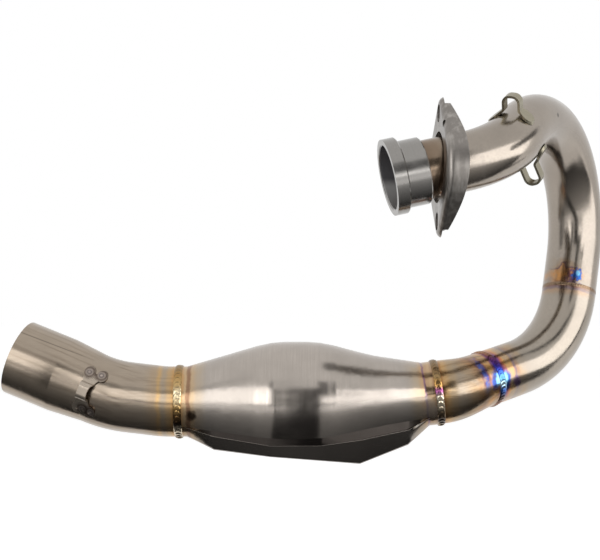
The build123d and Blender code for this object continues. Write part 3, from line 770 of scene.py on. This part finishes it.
# %% Inputs of the weld tree
bead_sockets = {
    "NodeSocketFloat": ("Tube radius", "Bead width", "Bead height", "Ripple depth", "Curl"),
    "NodeSocketInt": ("Ripples", "Steps round", "Steps across"),
    "NodeSocketMaterial": ("Finish",)}
bead_tree = bpy.data.node_groups.new("weld_bead", "GeometryNodeTree")
for kind, names in bead_sockets.items():
    for name in names:
        bead_tree.interface.new_socket(name, in_out="INPUT", socket_type=kind)
bead_tree.interface.new_socket("Geometry", in_out="OUTPUT", socket_type="NodeSocketGeometry")
bead_input = {s.name: s.identifier for s in bead_tree.interface.items_tree if s.in_out == "INPUT"}
given = bead_tree.nodes.new("NodeGroupInput").outputs
print("weld inputs:", ", ".join(bead_input))

# %% [markdown]
# The bead begins as a flat strip round the joint: a circle is the path, and a short line across it is the
# profile. A ready-made ring would have no numbers to hang the ripples on. Here every point first stores how
# far round and how far across it lies, and keeps both numbers through the sweep.

# %% Sweep a strip round the joint


def bead_node(kind, **feeds):
    """Result of a node of the weld tree, with inputs fed by name; an underscore stands for a space."""
    node = bead_tree.nodes.new(kind)
    for name, value in feeds.items():
        put(bead_tree, node.inputs[name.replace("_", " ")], value)
    return node.outputs[0]


def bead_math(operation, a, b=0.0, c=0.0):
    """Result of a Math node of the weld tree."""
    return number_node(bead_tree, operation, a, b, c)


def remember(geometry, name, value):
    """Store a number on each point under a name."""
    return bead_node("GeometryNodeStoreNamedAttribute", Geometry=geometry, Name=name, Value=value)


half = bead_math("MULTIPLY", given["Bead width"], 0.5)
left_end = bead_node("ShaderNodeCombineXYZ", Y=bead_math("MULTIPLY", half, -1.0))
right_end = bead_node("ShaderNodeCombineXYZ", Y=half)
line = bead_node("GeometryNodeCurvePrimitiveLine", Start=left_end, End=right_end)
line = bead_node("GeometryNodeResampleCurve", Curve=line, Count=given["Steps across"])
circle = bead_node(
    "GeometryNodeCurvePrimitiveCircle", Resolution=given["Steps round"], Radius=given["Tube radius"])
share = bead_node("GeometryNodeSplineParameter")
path = remember(circle, "around", share)
profile = remember(line, "across", share)
strip = bead_node("GeometryNodeCurveToMesh", Curve=path, Profile_Curve=profile)
print("strip:", len(bead_tree.nodes), "nodes so far")

# %% [markdown]
# Now the strip is lifted into ripples. The height falls to nothing at the strip's edges and saws up and down
# round the joint, and the saw leads in the middle of the strip, which bends each ripple into a crescent. A
# slow noise makes the pools uneven. The saw is stored as well, so that the finish can paint shade into the
# step between two coins.

# %% Lift the ripples
coin_rise = 0.7
pool_scale = 260.0
pool_drift = 0.5


def recall(name):
    """Number that was stored on the points under a name."""
    return bead_node("GeometryNodeInputNamedAttribute", Name=name)


side = bead_math("MULTIPLY_ADD", recall("across"), 2.0, -1.0)
side_square = bead_math("MULTIPLY", side, side)
crown = bead_math("SQRT", bead_math("MAXIMUM", bead_math("SUBTRACT", 1.0, side_square), 0.0))
turn = bead_math("MULTIPLY", recall("around"), given["Ripples"])
saw = bead_math("FRACT", bead_math("MULTIPLY_ADD", side_square, given["Curl"], turn))
coin = bead_math("SUBTRACT", bead_math("POWER", saw, coin_rise), 1.0)
lift = bead_math("MULTIPLY_ADD", coin, given["Ripple depth"], 1.0)
position = bead_node("GeometryNodeInputPosition")
pool = bead_node("ShaderNodeTexNoise", Vector=position, Scale=pool_scale)
pool = bead_math("MULTIPLY_ADD", pool, pool_drift, 1.0 - pool_drift / 2)
full_height = bead_math("MULTIPLY", pool, given["Bead height"])
height = bead_math("MULTIPLY", bead_math("MULTIPLY", crown, lift), full_height)
outward = vector_node(bead_tree, "NORMALIZE", vector_node(bead_tree, "MULTIPLY", position, (1, 1, 0)))
push = vector_node(bead_tree, "MULTIPLY", outward, height)
lifted = bead_node("GeometryNodeSetPosition", Geometry=strip, Offset=push)
rippled = remember(lifted, "ripple", saw)
smooth = bead_node("GeometryNodeSetShadeSmooth", Geometry=rippled)
real = bead_node("GeometryNodeRealizeInstances", Geometry=smooth)
painted = bead_node("GeometryNodeSetMaterial", Geometry=real, Material=given["Finish"])
put(bead_tree, bead_tree.nodes.new("NodeGroupOutput").inputs["Geometry"], painted)
print("weld tree:", len(bead_tree.nodes), "nodes")

# %% [markdown]
# Each bead went through its own heat, so each has its own colours. On the real joints they change from the
# top to the foot. They could be painted ripple by ripple, but a ramp over the height gives that order with
# one row of tones for each bead. The rows also hold painted light and shade: pale, nearly white tones part
# way down are a painted highlight, and a dark tone near the foot is painted shade. The stored saw paints
# shade into the steps.

# %% Weld colours
# Tone of the painted shade in the step between two ripples.
step_shade_tone = srgb(52, 40, 30)


def bead_finish(name, ring, tones, rough, step_shade):
    """Weld colour: tones from the top of the joint to its foot, with painted highlight and shade among them,
    and painted shade at each ripple's step.
    """
    finish = Finish(name)
    drift = finish.math("MULTIPLY_ADD", finish.noise(210.0, 2.0), 5.0, -2.5)
    height = finish.math("ADD", along(finish, ring.centre, (0, 0, 1)), drift)
    place = finish.spread(height, 1000 * ring.radius, -1000 * ring.radius, 0.0, 1.0)
    colour, _ = finish.ramp(place, [(i / (len(tones) - 1), srgb(*tone)) for i, tone in enumerate(tones)])
    # Painted shade in the step between two ripples.
    step = finish.add("Attribute")
    step.attribute_name = "ripple"
    edge = finish.spread(step.outputs["Fac"], 0.0, 0.3, step_shade, 0.0)
    finish.feed("Base Color", finish.mix(edge, colour, step_shade_tone))
    gloss = finish.spread(finish.noise(300.0), 0.3, 0.7, rough - 0.05, rough + 0.08)
    finish.feed("Roughness", gloss)
    finish.feed("Metallic", 1.0)
    print(name, "has", len(tones), "tones")
    return finish.material


# The blue, straw and gold rows mix heat colours with painted light: their palest tones are a painted
# highlight and the dark tone near the foot is painted shade.
blue = bead_finish("joint_weld_colour", joint, [
    (150, 104, 66), (92, 48, 96), (54, 44, 130), (52, 84, 186), (112, 176, 226),
    (196, 226, 240), (70, 110, 190), (66, 50, 48), (150, 112, 92), (150, 122, 100)], 0.2, 0.3)
straw = bead_finish("chamber_front_weld_colour", chamber_front, [
    (136, 116, 92), (136, 110, 78), (150, 124, 86), (206, 160, 96), (176, 100, 156),
    (244, 230, 204), (232, 216, 188), (150, 130, 104), (60, 48, 38), (160, 140, 112)], 0.2, 0.9)
gold = bead_finish("chamber_rear_weld_colour", chamber_rear, [
    (146, 122, 88), (162, 128, 80), (190, 160, 110), (220, 204, 170), (212, 190, 150),
    (180, 146, 92), (110, 84, 54), (52, 40, 32), (214, 200, 176), (150, 128, 98)], 0.22, 0.75)
dull = bead_finish("upright_weld_colour", upright, [
    (146, 132, 116), (132, 110, 90), (126, 102, 82), (146, 132, 116)], 0.24, 0.4)

# %% [markdown]
# Now the tree runs once for each joint. It could stay on the objects as a live modifier, but the export
# wants plain meshes, so each result is made one, turned to its tube and moved to its joint, and then stands
# for the plain bead. The upright weld is nearly flush, so its ripples are shallow.

# %% Lay the four beads
bead_sunk = 0.00008
steps_per_ripple = 9
steps_across = 15


def lay_bead(node, ring, width, height, ripples, depth, curl, material):
    """Run the tree once and let the result stand for the plain bead."""
    carrier = bpy.data.objects.new(node + "_maker", bpy.data.meshes.new(node + "_maker"))
    bpy.context.scene.collection.objects.link(carrier)
    modifier = carrier.modifiers.new("bead", "NODES")
    modifier.node_group = bead_tree
    settings = {
        "Tube radius": ring.radius - bead_sunk, "Bead width": width, "Bead height": height,
        "Ripples": ripples, "Ripple depth": depth, "Curl": curl,
        "Steps round": ripples * steps_per_ripple, "Steps across": steps_across, "Finish": material}
    for name, value in settings.items():
        modifier[bead_input[name]] = value
    mesh = plain_mesh(carrier)
    turn = ring.axis.to_track_quat("Z", "Y").to_matrix().to_4x4()
    mesh.transform(Matrix.Translation(ring.centre) @ turn)
    stand_in(node + "_ripples", mesh, node)


lay_bead("upright_weld", upright, 0.0026, 0.00018, 60, 0.4, 0.5, dull)
lay_bead("joint_weld", joint, 0.0054, 0.00086, 44, 0.45, 0.8, blue)
lay_bead("chamber_front_weld", chamber_front, 0.0052, 0.00130, 36, 0.6, 0.9, straw)
lay_bead("chamber_rear_weld", chamber_rear, 0.0056, 0.00126, 40, 0.5, 0.9, gold)

# %% [markdown]
# A bright pipe shows the room more than itself, and this one was photographed in a white room. A brighter
# world would whiten the background too, but wash out the steel. So the Light Path node splits the world: it
# is paper white where it is seen, directly or in the metal, and lights the part at a plain level.

# %% White room
room_fill = 0.6
paper_white = 1.0
scene = bpy.context.scene
scene.view_settings.view_transform = "Standard"
world = bpy.data.worlds.new("white_room")
scene.world = world
world.use_nodes = True
room = world.node_tree
room.nodes.clear()
ray = room.nodes.new("ShaderNodeLightPath").outputs
direct = number_node(room, "ADD", ray["Is Camera Ray"], ray["Is Glossy Ray"])
direct = number_node(room, "ADD", direct, ray["Is Transmission Ray"])
choose = room.nodes.new("ShaderNodeMixShader")
put(room, choose.inputs["Fac"], number_node(room, "MINIMUM", direct, 1.0))
for socket, strength in ((choose.inputs[1], room_fill), (choose.inputs[2], paper_white)):
    light = room.nodes.new("ShaderNodeBackground")
    light.inputs["Color"].default_value = (1, 1, 1, 1)
    light.inputs["Strength"].default_value = strength
    room.links.new(light.outputs["Background"], socket)
sky = room.nodes.new("ShaderNodeOutputWorld")
room.links.new(choose.outputs["Shader"], sky.inputs["Surface"])
print("room: fill", room_fill, "and", paper_white, "where it is seen")

# %% [markdown]
# The bright bands on the steel say where the soft boxes stood: a wide one to the right, one to the left of
# the lens, and two small ones for the outlet and the collar. Each is an area light with its power worked out
# from its size, so that a band keeps its tone when a box is resized.

# %% Soft boxes
middle = Vector((-0.04, 0.06, -0.05))
square_to_camera = (math.radians(90), 0, 0)


def facing(azimuth, elevation, distance):
    """Point seen from the middle of the part, with azimuth 0 towards the camera and positive to its right."""
    a, e = math.radians(azimuth), math.radians(elevation)
    return middle + distance * Vector((math.sin(a) * math.cos(e), -math.cos(a) * math.cos(e), math.sin(e)))


def soft_box(name, place, turn, width, height, glow):
    """Area light whose face glows at a plain level: 1 is paper white."""
    lamp = bpy.data.lights.new(name, "AREA")
    lamp.shape = "RECTANGLE"
    lamp.size = width
    lamp.size_y = height
    lamp.energy = glow * math.pi * width * height
    box = bpy.data.objects.new(name, lamp)
    box.location = place
    box.rotation_euler = turn
    box.visible_camera = False
    scene.collection.objects.link(box)
    print(name, "glows at", glow)


for name, direction, size, glow in (
        ("right_box", (60, 5, 1.2), (1.5, 0.80), 1.95),
        ("left_box", (-38, 12, 1.3), (0.70, 0.68), 1.4)):
    place = facing(*direction)
    soft_box(name, place, (middle - place).to_track_quat("-Z", "Y").to_euler(), *size, glow)
for name, place, size, glow in (
        ("outlet_box", (-0.215, -0.37, -0.03), (0.13, 0.22), 1.8),
        ("collar_box", (0.37, -1.02, 0.00), (0.28, 0.16), 1.7)):
    soft_box(name, place, square_to_camera, *size, glow)

# %% [markdown]
# The dark bands are things that did not glow: the gap round the lens, the table's edge and a few black
# flags. Dark boxes would also shade the floor, so each one is a flat card that only reflections see. The
# large ones give a band to the whole part, and the small ones stand close to one bend, where they darken
# that bend alone.

# %% Dark cards
card_distance = -1.0


def card(name, corners, grey, front_grey=None):
    """Card that only reflections see; front_grey is the tone at its camera end, where it isn't even."""
    mesh = bpy.data.meshes.new(name)
    mesh.from_pydata([tuple(corner) for corner in corners], [], [(0, 1, 2, 3)])
    finish = Finish(name)
    if front_grey is None:
        tone = finish.spread(finish.noise(3.0), 0.3, 0.7, grey * 0.95, grey * 1.05)
    else:
        depths = [1000 * corner[1] for corner in corners]
        depth = along(finish, (0, 0, 0), (0, 1, 0))
        tone = finish.spread(depth, min(depths), max(depths), front_grey, grey)
    glow = finish.add("Emission")
    finish.join(tone, glow.inputs["Strength"])
    finish.tree.nodes.remove(finish.shader)
    finish.join(glow.outputs["Emission"], finish.output.inputs["Surface"])
    mesh.materials.append(finish.material)
    flag = bpy.data.objects.new(name, mesh)
    scene.collection.objects.link(flag)
    flag.visible_camera = False
    flag.visible_diffuse = False
    flag.visible_shadow = False
    flag.visible_transmission = False
    print(name, "at grey", grey)


def standing_card(name, azimuth, distance, width, low, high, grey):
    """Upright card that faces the part from one side."""
    a = math.radians(azimuth)
    centre = facing(azimuth, 0, distance)
    side = Vector((math.cos(a), math.sin(a), 0)) * width / 2
    foot, top = Vector((0, 0, low)), Vector((0, 0, high))
    card(name, [centre - side + foot, centre + side + foot, centre + side + top, centre - side + top], grey)


for name, left, right, low, high, grey in (
        ("lens_gap", -0.12, 0.19, -0.30, 0.42, 0.08),
        ("high_gap", 0.19, 0.44, 0.18, 0.80, 0.12),
        ("side_gap", -0.44, -0.22, -0.20, 0.80, 0.30)):
    outline = ((left, low), (right, low), (right, high), (left, high))
    card(name, [(x, card_distance, z) for x, z in outline], grey)
standing_card("left_flag", -72, 1.0, 0.35, -0.6, 0.6, 0.3)
card("table_edge", [
    (-1.6, -0.50, -0.27), (1.6, -0.50, -0.27), (1.6, 0.09, -0.27), (-1.6, 0.09, -0.27)], 0.01, 0.7)
card("lens_foot", [
    (-0.12, -1.0, -0.265), (0.19, -1.0, -0.265), (-0.02, -0.02, -0.265), (-0.10, -0.02, -0.265)], 0.02, 0.08)
card("end_flag", [
    (-0.352, -0.057, -0.287), (-0.313, -0.142, -0.208),
    (-0.207, -0.073, 0.067), (-0.265, -0.141, -0.005)], 0.05)
card("bend_flag", [
    (0.272, -0.088, 0.028), (0.252, 0.060, 0.078), (0.236, 0.056, 0.106), (0.238, -0.078, 0.070)], 0.12)
card("edge_flag", [
    (0.398, 0.130, -0.090), (0.336, 0.056, -0.225), (0.334, 0.034, -0.205), (0.386, 0.096, -0.085)], 0.2)

# %% [markdown]
# The part hangs over a plain pale floor. A floor that is only lit comes out grey beside the white room, and
# more light would fall on the part too. A little glow of its own brings it up to white and still leaves the
# part's soft shadow on it.

# %% Floor
floor_level = -0.30
floor_glow = 0.45
floor_mesh = bpy.data.meshes.new("floor")
floor_corners = [(x, y, floor_level) for x, y in ((-4, -4), (4, -4), (4, 6), (-4, 6))]
floor_mesh.from_pydata(floor_corners, [], [(0, 1, 2, 3)])
floor = bpy.data.objects.new("floor", floor_mesh)
scene.collection.objects.link(floor)
finish = Finish("pale_floor")
finish.feed("Base Color", finish.spread(finish.noise(2.0), 0.3, 0.7, 0.86, 0.9))
finish.feed("Roughness", 0.9)
finish.feed("Emission Color", (1, 1, 1, 1))
finish.feed("Emission Strength", floor_glow)
floor_mesh.materials.append(finish.material)

# %% [markdown]
# The camera stands level with the part, so upright lines stay upright, and far enough away that the near
# collar is drawn at only a slightly larger scale than the far bend. A wider lens from closer would frame the
# part as well, but would bend these proportions.

# %% Camera
lens = bpy.data.cameras.new("camera")
lens.sensor_width = sensor_mm
lens.lens = lens_mm
lens.clip_start = 0.01
camera = bpy.data.objects.new("camera", lens)
camera.location = camera_place
camera.rotation_euler = square_to_camera
scene.collection.objects.link(camera)
scene.camera = camera
print("camera", round(middle.y - camera_place.y, 2), "m in front of the part")

# %% [markdown]
# The dressed model must not grow past the solids, because other parts are fitted to them.
